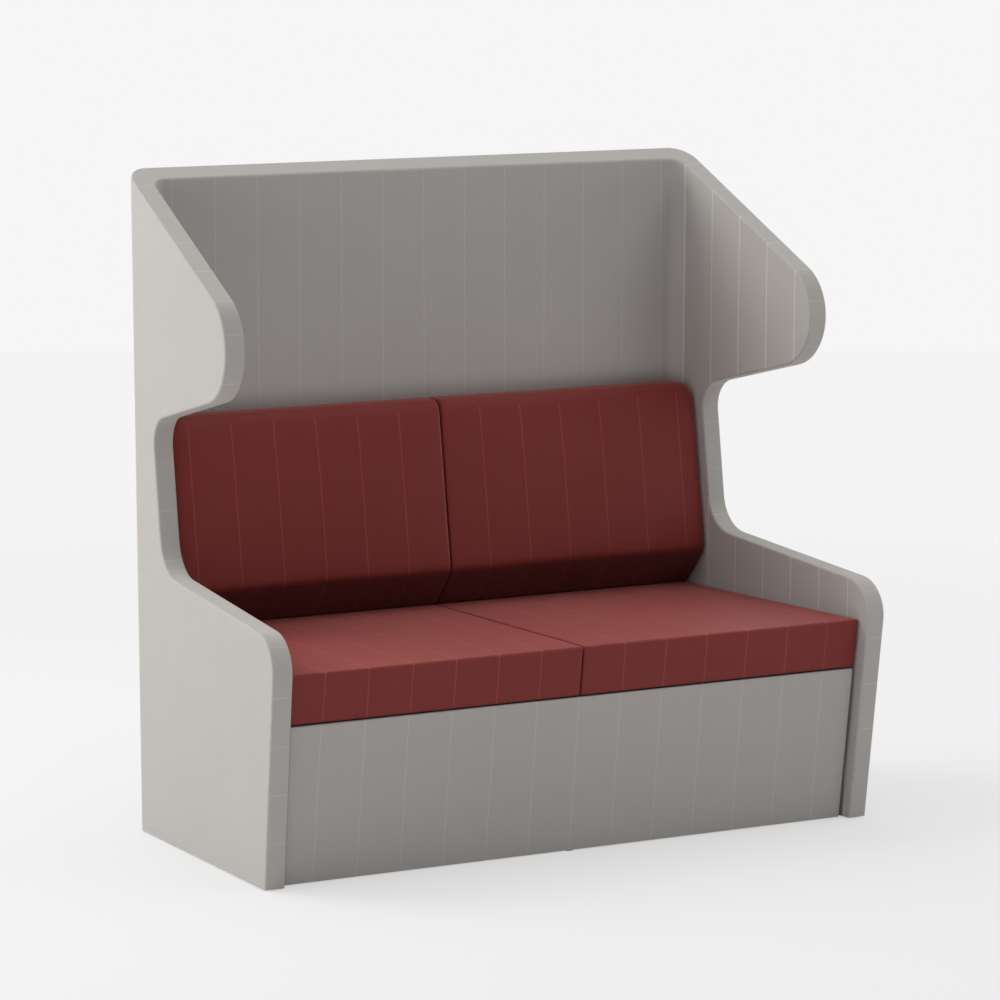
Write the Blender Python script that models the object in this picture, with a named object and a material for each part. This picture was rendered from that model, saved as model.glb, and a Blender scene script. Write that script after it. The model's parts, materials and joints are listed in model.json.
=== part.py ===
"""Two-seat high-back wing sofa: upholstered panels, a timber seat frame and lift-out cushions.

Metres, +Z up. The front faces -Y, and the origin is on the floor, under the middle of the sofa's box.
A depth is measured forward from the rear face of the back panel.
"""

import math

import bmesh
import bpy
from mathutils import Matrix, Vector

# Fits
FIT = 0.0003  # gap between pieces that touch
OVERCUT = 0.02  # how far a cutter runs past what it cuts
ARC_STEP = math.radians(12)  # largest turn between two points of an arc
SHARP = math.radians(35)  # edges that turn more than this stay sharp

# Shell
REAR_WIDTH = 1.410  # outside width at the rear face, at the floor
SPLAY = math.radians(3.73)  # turn of each side panel outwards towards the front
LEAN = math.radians(0.42)  # lean of each side panel outwards towards the top
HEIGHT = 1.4515  # where the sloping top edge would reach the rear face
PANEL = 0.046  # finished thickness of the side and back panels
COVER = 0.004  # foam and fabric sleeve round a panel's core
EDGE_ROUND = 0.0045
EDGE_STEPS = 2
SHELL_CORNER = 0.0485  # outside radius, in plan, where the back turns into a side
CORE_CORNER = 0.040  # the same corner of the back's core
INSIDE_CORNER = 0.028  # radius of the padded corner between the back and a side
PAD_FEATHER = math.radians(15)  # arc left off at each thin edge of that padding
PAD_LIFT = 0.003  # foot of that padding over the seat
STAND = 0.0025  # height of the panels over the floor

# Outline of a side panel
WING_FALL = math.radians(27.05)
WING_REACH = 0.5416
WING_NOSE = 0.118
WING_UNDERSIDE = math.radians(12.9)
NOTCH_TOP = 0.066
NECK_DEPTH = 0.264  # where the neck's line would reach the floor
NECK_LEAN = math.radians(7.95)
NOTCH_FOOT = 0.088
ARM_HEIGHT = 0.609  # where the arm's line would reach the rear face
ARM_FALL = math.radians(5.65)
ARM_NOSE = 0.081
FOOT_DEPTH = 0.7093
FRONT_LEAN = math.radians(7.0)

# Plinth
PLINTH_SETBACK = 0.0533  # front face at the floor, behind the seat's front edge
PLINTH_LEAN = math.radians(7.0)
PLINTH_HEIGHT = 0.342
PLINTH_CORE = 0.020
PLINTH_END_GAP = 0.008
PLINTH_EDGE = 0.004

# Seat frame
RAIL = 0.022
RAIL_HEIGHT = 0.090
CENTRE_RAIL = 0.040
CORNER_BLOCK = 0.070
DECK = 0.015
DECK_CLEAR = 0.002  # round the edge of each deck
VENT_RADIUS = 0.020
VENT_PITCH = 0.150

# Seat cushions
SEAT_HEIGHT = 0.4535
SEAT_THICKNESS = 0.1082
SEAT_DEPTH = 0.740  # front edge of the top
SEAT_LEAN = math.radians(8.15)
SEAT_SPLIT = 0.003  # gap between the two cushions
SEAT_END_GAP = 0.004
SEAT_REAR_GAP = 0.002
SEAT_CROWN = 0.003
SEAT_CROWN_DEPTH = 0.150  # where the crown begins, in front of the back cushion's foot
SEAT_DRAW = 0.0015  # how far the front and the end pull in between the corners
SEAT_EDGE = 0.007
SEAT_CELLS = 8

# Back cushions
BACK_TOP = 0.919
BACK_FACE_DEPTH = 0.2497  # where the front face's line would reach the floor
BACK_LEAN = math.radians(8.2)
BACK_KNEE = 0.5407  # height of the bend under the front face
BACK_TOE_DEPTH = 0.102  # where the underside reaches the seat
BACK_TOP_ROUND = 0.026
BACK_KNEE_ROUND = 0.016
BACK_TOE_ROUND = 0.004
BACK_SPLIT = 0.003  # gap between the two cushions
BACK_END_GAP = 0.003
BACK_OUTER_ROUND = 0.026  # top corner beside a side panel
BACK_INNER_ROUND = 0.005  # top corner beside the other cushion
BACK_EDGE = 0.007
BACK_REAR_RELIEF = 0.030  # rear edge eased round the padded corner
BACK_CROWN = 0.004
BACK_CELLS = 8
END_STEPS = 4
LONG_RUN = 0.100  # straight runs longer than this are divided
POCKET_RIM = 0.060  # foam left round the board's pocket

# Board and hanging strips of a back cushion
BOARD = 0.012
STANDOFF = 0.010  # space between the back panel and the board
STRIP = 0.003
STRIP_LENGTH = 0.400
STRIP_HEIGHT = 0.800  # base of the hang rail's trough
FLANGE = 0.025
TROUGH = 0.004
LIP = 0.015
HOOK_LIP = 0.0025
HOOK_CLEAR = 0.0007  # from the hook's lip to the back panel

# Fasteners
SHANK_RADIUS = 0.003
HEAD_RADIUS = 0.006
HEAD_HEIGHT = 0.003
ROUND_SIDES = 16
BITE = 0.014  # length of a screw in the board that it holds
BOARD_BITE = 0.009
BOLT_BITE = 0.050
BOLT_SEAT = 0.022  # depth at which a corner bolt's head bears
BOLT_HEIGHTS = {"lower": 0.300, "upper": 1.150}
SIDE_SCREW_CLEAR = 0.041  # from a corner block to the screw in a side rail
RAIL_SCREW_SPREAD = 0.400
STRIP_SCREW_SPREAD = 0.140

# Glides
GLIDE_RADIUS = 0.012
GLIDE_EASE = 0.001
SPIGOT_RADIUS = 0.004
SPIGOT_LENGTH = 0.020
GLIDE_SETBACK = 0.050  # from each end of a side panel's foot

# Heights and places that follow
SIDES = {"left": -1, "right": 1}
SEAT_BOTTOM = SEAT_HEIGHT - SEAT_THICKNESS
DECK_TOP = SEAT_BOTTOM - FIT
RAIL_TOP = DECK_TOP - DECK - FIT
RAIL_FOOT = RAIL_TOP - RAIL_HEIGHT
SCREW_HEIGHT = RAIL_TOP - RAIL_HEIGHT / 2
PLINTH = PLINTH_CORE + 2 * COVER
PLINTH_DEPTH = SEAT_DEPTH - PLINTH_SETBACK
BACK_FRONT = PANEL + FIT  # first free depth in front of the back panel
REAR_RAIL_FRONT = BACK_FRONT + RAIL
BACK_BOTTOM = SEAT_HEIGHT + SEAT_CROWN + FIT
BOARD_REAR = PANEL + STANDOFF
FORWARD = Vector((0, -1, 0))
UP = Vector((0, 0, 1))

# Colour, roughness and metallic value of each finish
GREY_FABRIC = ((0.34, 0.33, 0.315, 1), 0.9, 0)
RED_FABRIC = ((0.155, 0.032, 0.031, 1), 0.85, 0)
CHIPBOARD = ((0.45, 0.34, 0.22, 1), 0.8, 0)
BEECH = ((0.58, 0.40, 0.24, 1), 0.6, 0)
PLYWOOD = ((0.62, 0.47, 0.30, 1), 0.6, 0)
STEEL = ((0.55, 0.55, 0.56, 1), 0.35, 1)
ALUMINIUM = ((0.70, 0.71, 0.72, 1), 0.35, 1)
BLACK_PLASTIC = ((0.02, 0.02, 0.02, 1), 0.5, 0)

holes = {}


def clear_scene():
    """Remove whatever the scene holds."""
    for obj in list(bpy.data.objects):
        bpy.data.objects.remove(obj, do_unlink=True)


def meet(first, second):
    """Point where two lines meet, each given as a point and a direction."""
    (start, along), (other, across) = first, second
    return start + along * ((other - start).cross(across) / along.cross(across))


def heading(angle):
    """Unit direction in a flat outline, turned from the first axis towards the second."""
    return Vector((math.cos(angle), math.sin(angle)))


def left_of(direction):
    """Direction a quarter turn to the left."""
    return Vector((-direction.y, direction.x))


def bulge(fraction):
    """Rise of a crown along its width: 0 at both edges and beyond them, 1 in the middle."""
    return max(0, 4 * fraction * (1 - fraction))


def rounded(corners, radii):
    """Outline through the corners, each rounded by its radius; 0 leaves a corner sharp."""
    outline = []
    for i, (corner, radius) in enumerate(zip(corners, radii)):
        if not radius:
            outline.append(corner)
            continue
        before = (corners[i - 1] - corner).normalized()
        after = (corners[(i + 1) % len(corners)] - corner).normalized()
        half = before.angle(after) / 2
        centre = corner + (before + after).normalized() * radius / math.sin(half)
        start = corner + before * radius / math.tan(half) - centre
        end = corner + after * radius / math.tan(half) - centre
        turn = math.atan2(start.cross(end), start.dot(end))
        steps = max(2, math.ceil(abs(turn) / ARC_STEP))
        outline += [centre + Matrix.Rotation(turn * n / steps, 2) @ start for n in range(steps + 1)]
    return outline


def divided(outline, cells):
    """The outline with each long straight run split into equal cells."""
    points = []
    for i, point in enumerate(outline):
        following = outline[(i + 1) % len(outline)]
        count = cells if (following - point).length > LONG_RUN else 1
        points += [point.lerp(following, n / count) for n in range(count)]
    return points


def loft(rings):
    """Closed body through rings of points, with the first and last ring capped."""
    bm = bmesh.new()
    loops = [[bm.verts.new(point) for point in ring] for ring in rings]
    for lower, upper in zip(loops, loops[1:]):
        for i in range(len(lower)):
            bm.faces.new((lower[i - 1], lower[i], upper[i], upper[i - 1]))
    bm.faces.new(loops[0])
    bm.faces.new(loops[-1])
    bmesh.ops.recalc_face_normals(bm, faces=bm.faces)
    return bm


def top_height(depth, inset=0):
    """Height of the shell's sloping top edge at a depth, drawn in by inset."""
    return HEIGHT - depth * math.tan(WING_FALL) - inset / math.cos(WING_FALL)


def side_outline(inset, rear, foot):
    """Side panel's outline as (depth, height) points, drawn in by inset along its free edges."""
    nose_depth = WING_REACH - WING_NOSE
    nose = Vector((nose_depth, top_height(nose_depth, WING_NOSE)))
    under = heading(WING_UNDERSIDE)
    lines = [
        (Vector((FOOT_DEPTH, 0)), heading(math.pi / 2 - FRONT_LEAN)),
        (Vector((0, ARM_HEIGHT)), heading(math.pi - ARM_FALL)),
        (Vector((NECK_DEPTH, 0)), heading(math.pi / 2 + NECK_LEAN)),
        (nose - left_of(under) * WING_NOSE, under),
        (Vector((0, HEIGHT)), heading(math.pi - WING_FALL)),
    ]
    front, arm, neck, under, top = [(start + left_of(along) * inset, along) for start, along in lines]
    back = (Vector((rear, 0)), heading(-math.pi / 2))
    floor = (Vector((0, foot)), heading(0))
    turns = [
        (floor, front, 0),
        (front, arm, ARM_NOSE - inset),
        (arm, neck, NOTCH_FOOT + inset),
        (neck, under, NOTCH_TOP + inset),
        (under, top, WING_NOSE - inset),
        (top, back, 0),
        (back, floor, 0),
    ]
    corners = [meet(first, second) for first, second, _ in turns]
    return rounded(corners, [radius for _, _, radius in turns])


def overall_depth():
    """Depth of the side panels' foremost point, at the nose of an arm."""
    reach = max(point.x for point in side_outline(0, BACK_FRONT, STAND))
    return reach * math.cos(SPLAY) + (PANEL - EDGE_ROUND) * math.sin(SPLAY)


REAR_Y = overall_depth() / 2


def world(x, depth, z):
    """World point at a depth forward of the rear face."""
    return Vector((x, REAR_Y - depth, z))


def leaned(x, z):
    """A place across the sofa at the floor, moved out with the side panels' lean to a height."""
    return x + math.copysign(z * math.tan(LEAN), x)


def beside(side, along, inward, z):
    """World point at a length along a side panel and a distance inwards from its outer face."""
    x = REAR_WIDTH / 2 + along * math.sin(SPLAY) - inward * math.cos(SPLAY)
    return world(side * leaned(x, z), along * math.cos(SPLAY) + inward * math.sin(SPLAY), z)


def inner_x(depth, z, inward=0):
    """Half the width between the side panels at a depth and height, less a distance in from each."""
    return leaned(REAR_WIDTH / 2 + depth * math.tan(SPLAY) - (PANEL + inward) / math.cos(SPLAY), z)


def plinth_front(z):
    """Depth of the plinth's front face at a height."""
    return PLINTH_DEPTH + z * math.tan(PLINTH_LEAN)


def rail_front(z):
    """Depth of the front rail's front face, against the plinth."""
    return plinth_front(z) - PLINTH - FIT


def rail_rear(z):
    """Depth of the front rail's rear face."""
    return rail_front(z) - RAIL


def prism(plan, low, high):
    """Body between two heights; plan gives its (x, depth) outline at a height."""
    return loft([[world(x, depth, z) for x, depth in plan(z)] for z in (low, high)])


def extrusion(section, start, end):
    """Body along X between two places; section is its (depth, height) outline."""
    return loft([[world(x, depth, z) for depth, z in section] for x in (start, end)])


def add(name, bm, finish, origin=(0, 0, 0), parent=None):
    """Make a named piece from a mesh in world places, with its own material and its origin as given."""
    bmesh.ops.translate(bm, vec=-Vector(origin), verts=bm.verts)
    mesh = bpy.data.meshes.new(name)
    bm.to_mesh(mesh)
    bm.free()
    mesh.shade_smooth()
    mesh.set_sharp_from_angle(angle=SHARP)
    colour, roughness, metallic = finish
    material = bpy.data.materials.new(name)
    material.use_nodes = True
    shader = material.node_tree.nodes["Principled BSDF"]
    shader.inputs["Base Color"].default_value = colour
    shader.inputs["Roughness"].default_value = roughness
    shader.inputs["Metallic"].default_value = metallic
    mesh.materials.append(material)
    obj = bpy.data.objects.new(name, mesh)
    obj.location = origin
    bpy.context.scene.collection.objects.link(obj)
    if parent:
        obj.parent = parent
        obj.matrix_parent_inverse = Matrix.Translation(parent.location).inverted()
    return obj


def subtract(obj, name, bm):
    """Cut a shape out of a piece with a Boolean."""
    mesh = bpy.data.meshes.new(name)
    bm.to_mesh(mesh)
    bm.free()
    cutter = bpy.data.objects.new(name, mesh)
    cutter.hide_render = True
    cutter.display_type = "WIRE"
    bpy.context.scene.collection.objects.link(cutter)
    modifier = obj.modifiers.new(name, "BOOLEAN")
    modifier.operation = "DIFFERENCE"
    modifier.solver = "EXACT"
    modifier.object = cutter


def placed(start, direction):
    """Transform that puts the origin at start and +Z along direction."""
    return Matrix.Translation(start) @ direction.to_track_quat("Z", "Y").to_matrix().to_4x4()


def shaft(radius, low, high):
    """Profile of a plain round bar between two heights, as (radius, height) points."""
    return [(0, low), (radius, low), (radius, high), (0, high)]


def turn(bm, profile, place):
    """Add a solid turned about a place's Z axis from (radius, height) points that start and end on it."""
    verts = [bm.verts.new(place @ Vector((radius, 0, height))) for radius, height in profile]
    edges = [bm.edges.new(pair) for pair in zip(verts, verts[1:])]
    bmesh.ops.spin(bm, geom=verts + edges, cent=place.translation, axis=place.col[2].to_3d(),
                   angle=2 * math.pi, steps=ROUND_SIDES, use_merge=True)
    bmesh.ops.remove_doubles(bm, verts=bm.verts, dist=FIT / 10)
    bmesh.ops.recalc_face_normals(bm, faces=bm.faces)


def bore(nodes, place, profile):
    """Note a hole with a turned profile that goes into each of the named pieces."""
    for node in nodes:
        holes.setdefault(node, []).append((place, profile))


def drill():
    """Cut every noted hole, with one cutter for each piece."""
    for node, bores in holes.items():
        bm = bmesh.new()
        for place, profile in bores:
            turn(bm, profile, place)
        subtract(bpy.data.objects[node], f"{node}_holes", bm)


def fastener(name, seat, direction, length, through, sunk=(), parent=None):
    """Screw whose head bears at seat, with its holes; the sunk pieces get a recess for the head."""
    place = placed(seat, direction)
    bm = bmesh.new()
    turn(bm, [(0, -HEAD_HEIGHT), (HEAD_RADIUS, -HEAD_HEIGHT), (HEAD_RADIUS, -FIT), (SHANK_RADIUS, -FIT),
              (SHANK_RADIUS, length), (0, length)], place)
    add(name, bm, STEEL, parent=parent)
    hole = SHANK_RADIUS + FIT
    recess = HEAD_RADIUS + FIT
    mouth = -HEAD_HEIGHT - OVERCUT
    end = length + FIT
    bore(through, place, shaft(hole, -HEAD_HEIGHT, end))
    bore(sunk, place, [(0, mouth), (recess, mouth), (recess, 0), (hole, 0), (hole, end), (0, end)])


def round_edges(bm, edges, radius):
    """Round the given edges."""
    bmesh.ops.bevel(bm, geom=edges, offset=radius, segments=EDGE_STEPS, profile=0.5, affect="EDGES")


def both(edge, test):
    """Whether both ends of an edge pass a test."""
    return all(test(vert.co) for vert in edge.verts)


def side_plate(side, inset, foot, rear_depth):
    """Closed plate with a side panel's outline, its rear end square to the back panel."""
    rings = []
    for inward in (inset, PANEL - inset):
        rear = (rear_depth - inward * math.sin(SPLAY)) / math.cos(SPLAY)
        outline = side_outline(inset, rear, foot)
        rings.append([beside(side, along, inward, z) for along, z in outline])
    return loft(rings)


def build_side(word, side):
    """Side panel: a board core in a padded sleeve that is open below and behind."""
    bm = side_plate(side, 0, STAND, BACK_FRONT)
    broad = sorted(bm.faces, key=lambda face: face.calc_area())[-2:]
    rear_y = world(0, BACK_FRONT, 0).y
    rim = [edge for face in broad for edge in face.edges
           if not both(edge, lambda co: co.z < STAND + FIT)
           and not both(edge, lambda co: co.y > rear_y - FIT)]
    round_edges(bm, rim, EDGE_ROUND)
    cover = add(f"{word}_side_cover", bm, GREY_FABRIC)
    subtract(cover, f"{word}_side_cavity", side_plate(side, COVER - FIT, -OVERCUT, -OVERCUT))
    add(f"{word}_side_core", side_plate(side, COVER, STAND, BACK_FRONT), CHIPBOARD)


def back_plate(inset, foot):
    """Closed plate with the back panel's plan, cut off above by the shell's slope."""
    front = PANEL - inset
    half_front = inner_x(front, 0, inset - PANEL)
    half_rear = inner_x(inset, 0, inset - PANEL)
    half_inner = inner_x(PANEL, 0)
    corners = [(-half_front, front), (-half_rear, inset), (half_rear, inset), (half_front, front),
               (half_inner, front), (-half_inner, front)]
    corner_radius = CORE_CORNER if inset else SHELL_CORNER
    plan = rounded([Vector(corner) for corner in corners], [0, corner_radius, corner_radius, 0, 0, 0])
    return loft(rising(plan, foot, inset))


def rising(plan, foot, inset=0):
    """Rings of a plan at a foot height and where it meets the shell's sloping top, both with the lean."""
    return [[world(leaned(x, z), depth, z) for x, depth, z in ring]
            for ring in ([(x, depth, foot) for x, depth in plan],
                         [(x, depth, top_height(depth, inset)) for x, depth in plan])]


def build_back():
    """Back panel: a board core in a padded sleeve that is open below."""
    bm = back_plate(0, STAND)
    lid = max(bm.faces, key=lambda face: face.calc_center_median().z)
    front_y = world(0, PANEL, 0).y
    butted = [edge for edge in lid.edges
              if both(edge, lambda co: co.y < front_y + FIT) and edge.calc_length() < 2 * PANEL]
    round_edges(bm, [edge for edge in lid.edges if edge not in butted], EDGE_ROUND)
    cover = add("back_cover", bm, GREY_FABRIC)
    subtract(cover, "back_cavity", back_plate(COVER - FIT, -OVERCUT))
    add("back_core", back_plate(COVER, STAND), CHIPBOARD)


def build_corner_pad(word, side):
    """Padding that rounds the inside corner between the back and a side panel."""
    opening = math.pi / 2 + SPLAY
    corner = Vector((inner_x(PANEL, 0), PANEL))
    centre = corner + heading(math.pi - opening / 2) * INSIDE_CORNER / math.sin(opening / 2)
    first = PAD_FEATHER - math.pi / 2
    turn = math.pi - opening - 2 * PAD_FEATHER
    steps = math.ceil(turn / ARC_STEP)
    arc = [centre + heading(first + turn * n / steps) * INSIDE_CORNER for n in range(steps + 1)]
    start = (arc[0].x, BACK_FRONT)
    end = (inner_x(arc[-1].y, 0, FIT), arc[-1].y)
    plan = [(inner_x(BACK_FRONT, 0, FIT), BACK_FRONT), start, *arc, end]
    rings = rising([(side * x, depth) for x, depth in plan], SEAT_HEIGHT + PAD_LIFT)
    add(f"{word}_corner_pad", loft(rings), GREY_FABRIC)


def plinth_plate(inset, foot):
    """Closed slanted plate of the plinth, drawn in by inset."""
    def plan(z):
        front = plinth_front(z) - inset
        rear = plinth_front(z) - PLINTH + inset
        gap = PLINTH_END_GAP + inset
        half_front = inner_x(front, z, gap)
        half_rear = inner_x(rear, z, gap)
        return [(-half_front, front), (half_front, front), (half_rear, rear), (-half_rear, rear)]
    return prism(plan, foot, PLINTH_HEIGHT - inset)


def build_plinth():
    """Front panel under the seat: a board core in a padded sleeve that is open below."""
    bm = plinth_plate(0, STAND)
    rim = [edge for edge in bm.edges if not both(edge, lambda co: co.z < STAND + FIT)]
    round_edges(bm, rim, PLINTH_EDGE)
    cover = add("front_panel_cover", bm, GREY_FABRIC)
    subtract(cover, "front_panel_cavity", plinth_plate(COVER - FIT, -OVERCUT))
    add("front_panel_core", plinth_plate(COVER, STAND), CHIPBOARD)


def cross_rail(front, rear):
    """Plan of a rail that spans between the side panels; front and rear give its depths at a height."""
    def plan(z):
        half_front = inner_x(front(z), z, FIT)
        half_rear = inner_x(rear(z), z, FIT)
        return [(-half_front, front(z)), (half_front, front(z)), (half_rear, rear(z)), (-half_rear, rear(z))]
    return plan


def build_frame():
    """Rails and corner blocks under the seat."""
    front_plan = cross_rail(rail_front, rail_rear)
    rear_plan = cross_rail(lambda z: REAR_RAIL_FRONT, lambda z: BACK_FRONT)
    start = REAR_RAIL_FRONT + FIT

    def centre_plan(z):
        half = CENTRE_RAIL / 2
        end = rail_rear(z) - FIT
        return [(-half, start), (half, start), (half, end), (-half, end)]

    add("front_rail", prism(front_plan, RAIL_FOOT, RAIL_TOP), BEECH)
    add("rear_rail", prism(rear_plan, RAIL_FOOT, RAIL_TOP), BEECH)
    add("centre_rail", prism(centre_plan, RAIL_FOOT, RAIL_TOP), BEECH)
    for word, side in SIDES.items():
        build_side_rail(word, side, start)


def build_side_rail(word, side, start):
    """Rail along a side panel, with the blocks that tie it to the front and rear rails."""
    def rail_plan(z):
        end = rail_rear(z) - FIT
        return [(side * inner_x(start, z, FIT), start), (side * inner_x(end, z, FIT), end),
                (side * inner_x(end, z, FIT + RAIL), end), (side * inner_x(start, z, FIT + RAIL), start)]

    def block_plan(z, corner, far):
        corner_x = inner_x(corner, z, 2 * FIT + RAIL)
        far_x = inner_x(far, z, 2 * FIT + RAIL)
        return [(side * corner_x, corner), (side * far_x, far), (side * (corner_x - CORNER_BLOCK), corner)]

    def rear_plan(z):
        return block_plan(z, start, start + CORNER_BLOCK)

    def front_plan(z):
        corner = rail_rear(z) - FIT
        return block_plan(z, corner, corner - CORNER_BLOCK)

    add(f"{word}_rail", prism(rail_plan, RAIL_FOOT, RAIL_TOP), BEECH)
    add(f"{word}_rear_block", prism(rear_plan, RAIL_FOOT, RAIL_TOP), BEECH)
    add(f"{word}_front_block", prism(front_plan, RAIL_FOOT, RAIL_TOP), BEECH)


def build_deck(word, side):
    """Plywood seat deck with vent holes, on the rails."""
    rear = BACK_FRONT + DECK_CLEAR
    front = rail_front(RAIL_TOP)

    def plan(z):
        return [(side * DECK_CLEAR, rear), (side * DECK_CLEAR, front),
                (side * inner_x(front, z, DECK_CLEAR), front), (side * inner_x(rear, z, DECK_CLEAR), rear)]

    name = f"{word}_seat_deck"
    add(name, prism(plan, RAIL_TOP + FIT, DECK_TOP), PLYWOOD)
    middle = (rear + front) / 2
    for row in (-1, 0, 1):
        for column in (-1, 0, 1):
            x = side * inner_x(middle, DECK_TOP) / 2 + column * VENT_PITCH
            start = world(x, middle + row * VENT_PITCH, RAIL_TOP - OVERCUT)
            bore([name], placed(start, UP), shaft(VENT_RADIUS, 0, DECK + 2 * OVERCUT))


def build_seat_cushion(word, side):
    """Box cushion with a slanted front, a low crown and crisp rounded edges."""
    rear = BACK_FRONT + SEAT_REAR_GAP
    inner = SEAT_SPLIT / 2

    def front(z):
        return SEAT_DEPTH - (SEAT_HEIGHT - z) * math.tan(SEAT_LEAN)

    def plan(z):
        return [(side * inner, rear), (side * inner, front(z)),
                (side * inner_x(front(z), z, SEAT_END_GAP), front(z)),
                (side * inner_x(rear, z, SEAT_END_GAP), rear)]

    bm = prism(plan, SEAT_BOTTOM, SEAT_HEIGHT)
    bmesh.ops.subdivide_edges(bm, edges=bm.edges[:], cuts=SEAT_CELLS - 1, use_grid_fill=True)
    for vert in bm.verts:
        x = abs(vert.co.x)
        depth = REAR_Y - vert.co.y
        front_here = front(vert.co.z)
        end = inner_x(depth, vert.co.z, SEAT_END_GAP)
        across = (x - inner) / (end - inner)
        if vert.co.z > SEAT_HEIGHT - FIT:
            along = (depth - SEAT_CROWN_DEPTH) / (SEAT_DEPTH - SEAT_CROWN_DEPTH)
            vert.co.z += SEAT_CROWN * bulge(across) * bulge(along)
        if depth > front_here - FIT:
            vert.co.y += SEAT_DRAW * bulge(across)
        if x > end - FIT:
            vert.co.x -= side * SEAT_DRAW * bulge((depth - rear) / (front_here - rear))
    round_edges(bm, [edge for edge in bm.edges if edge.calc_face_angle() > SHARP], SEAT_EDGE)
    middle = (rear + SEAT_DEPTH) / 2
    origin = world(side * inner_x(middle, SEAT_BOTTOM) / 2, middle, SEAT_BOTTOM)
    add(f"{word}_seat_cushion", bm, RED_FABRIC, origin)


def back_face(z):
    """Depth of a back cushion's front face at a height."""
    return BACK_FACE_DEPTH - z * math.tan(BACK_LEAN)


def back_section(top_drop, face_drop, rear_drop, crown):
    """Back cushion's (depth, height) outline, drawn in at its top, face and rear, its face crowned."""
    rear = BACK_FRONT + rear_drop
    toe = BACK_TOE_DEPTH - face_drop
    top = BACK_TOP - top_drop
    corners = [(rear, BACK_BOTTOM), (toe, BACK_BOTTOM), (back_face(BACK_KNEE) - face_drop, BACK_KNEE),
               (back_face(top) - face_drop, top), (rear, top)]
    radii = [0, BACK_TOE_ROUND, BACK_KNEE_ROUND, BACK_TOP_ROUND, 0]
    outline = divided(rounded([Vector(corner) for corner in corners], radii), BACK_CELLS)
    low = BACK_KNEE + BACK_KNEE_ROUND
    high = top - BACK_TOP_ROUND
    for point in outline:
        if point.x > back_face(point.y) - face_drop - FIT:
            point.x += crown * bulge((point.y - low) / (high - low))
    return outline


def back_rings(side):
    """Rings of a back cushion from the middle of the sofa to its side, with both ends rounded."""
    quarter = [math.pi / 2 * n / END_STEPS for n in range(END_STEPS + 1)]
    start = BACK_SPLIT / 2
    rings = []
    for angle in quarter:
        drop = BACK_INNER_ROUND * (1 - math.sin(angle))
        x = start + BACK_INNER_ROUND * (1 - math.cos(angle))
        rings.append([world(side * x, depth, z) for depth, z in back_section(drop, drop, 0, 0)])
    for n in range(1, BACK_CELLS):
        ring = []
        for depth, z in back_section(0, 0, 0, BACK_CROWN * bulge(n / BACK_CELLS)):
            first = start + BACK_INNER_ROUND
            last = inner_x(depth, z, BACK_END_GAP + BACK_OUTER_ROUND)
            ring.append(world(side * (first + (last - first) * n / BACK_CELLS), depth, z))
        rings.append(ring)
    for angle in reversed(quarter):
        drop = 1 - math.sin(angle)
        gap = BACK_END_GAP + BACK_OUTER_ROUND * (1 - math.cos(angle))
        section = back_section(BACK_OUTER_ROUND * drop, BACK_EDGE * drop, BACK_REAR_RELIEF * drop, 0)
        rings.append([world(side * inner_x(depth, z, gap), depth, z) for depth, z in section])
    return rings


def build_back_cushion(word, side):
    """Wedge cushion with a board in its rear and a hook strip that hangs on a rail of the back panel."""
    first = BACK_SPLIT / 2 + POCKET_RIM
    last = inner_x(BACK_FRONT, BACK_BOTTOM, BACK_END_GAP + POCKET_RIM)
    low = SEAT_HEIGHT + POCKET_RIM
    high = BACK_TOP - POCKET_RIM
    middle = side * (first + last) / 2
    deep = BOARD_REAR + BOARD
    origin = world(middle, BACK_FRONT, BACK_BOTTOM)
    cushion = add(f"{word}_back_cushion", loft(back_rings(side)), RED_FABRIC, origin)
    pocket = [(0, low - FIT), (deep + FIT, low - FIT), (deep + FIT, high + FIT), (0, high + FIT)]
    subtract(cushion, f"{word}_pocket", extrusion(pocket, side * (first - FIT), side * (last + FIT)))
    board = [(BOARD_REAR, low), (deep, low), (deep, high), (BOARD_REAR, high)]
    add(f"{word}_back_board", extrusion(board, side * first, side * last), PLYWOOD, parent=cushion)

    def strip(outline):
        section = [(PANEL + out, STRIP_HEIGHT + up) for out, up in outline]
        return extrusion(section, middle - STRIP_LENGTH / 2, middle + STRIP_LENGTH / 2)

    trough_front = TROUGH + STRIP
    rail = [(FIT, -FLANGE), (STRIP, -FLANGE), (STRIP, 0), (trough_front, 0), (trough_front, LIP),
            (TROUGH, LIP), (TROUGH, STRIP), (FIT, STRIP)]
    add(f"{word}_hang_rail", strip(rail), ALUMINIUM)
    foot = STRIP + FIT
    web = LIP + FIT
    web_top = web + STRIP
    hook_front = STANDOFF - FIT
    hook_rear = hook_front - STRIP
    lip_front = HOOK_CLEAR + HOOK_LIP
    hook = [(HOOK_CLEAR, foot), (lip_front, foot), (lip_front, web), (hook_front, web),
            (hook_front, web_top + FLANGE), (hook_rear, web_top + FLANGE), (hook_rear, web_top),
            (HOOK_CLEAR, web_top)]
    add(f"{word}_hook_strip", strip(hook), ALUMINIUM, parent=cushion)
    for hand, way in SIDES.items():
        x = middle + way * STRIP_SCREW_SPREAD
        rail_seat = world(x, PANEL + STRIP, STRIP_HEIGHT - FLANGE / 2)
        hook_seat = world(x, PANEL + hook_rear, STRIP_HEIGHT + web_top + FLANGE / 2)
        fastener(f"{word}_hang_rail_{hand}_screw", rail_seat, -FORWARD, STRIP + COVER + BITE,
                 [f"{word}_hang_rail", "back_cover", "back_core"])
        fastener(f"{word}_hook_{hand}_screw", hook_seat, FORWARD, STRIP + FIT + BOARD_BITE,
                 [f"{word}_hook_strip", f"{word}_back_board"], parent=cushion)


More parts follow.
